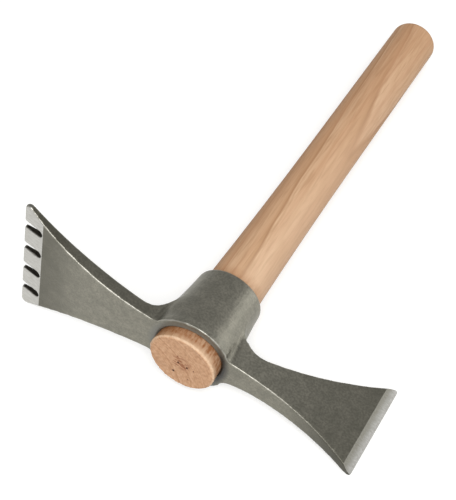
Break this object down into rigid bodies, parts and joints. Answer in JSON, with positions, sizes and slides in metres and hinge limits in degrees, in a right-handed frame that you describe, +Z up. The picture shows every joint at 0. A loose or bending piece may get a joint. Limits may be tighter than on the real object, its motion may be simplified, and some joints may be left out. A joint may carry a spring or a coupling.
{
  "type": "hand mattock",
  "caption": "Short-handled mattock: forged head with a toothed adze on one side and an axe on the other, round tapered eye, driven on a turned wooden handle.",
  "frame": {"origin": "centre of the handle's butt face, the flat end that stands out in front of the head", "axes": "+Y along the handle towards the grip, +X along the head towards the axe, +Z up as the tool lies on its side, adze edge upright"},
  "size_m": [0.2445, 0.3642, 0.0984],
  "materials": {
    "forged_steel": "forged and shot-blasted, matte grey, with ground cutting edges",
    "ash_wood": "turned and sanded, satin lacquer"
  },
  "bodies": {
    "root": {"head": "forged_steel", "handle": "ash_wood"}
  },
  "joints": []
}
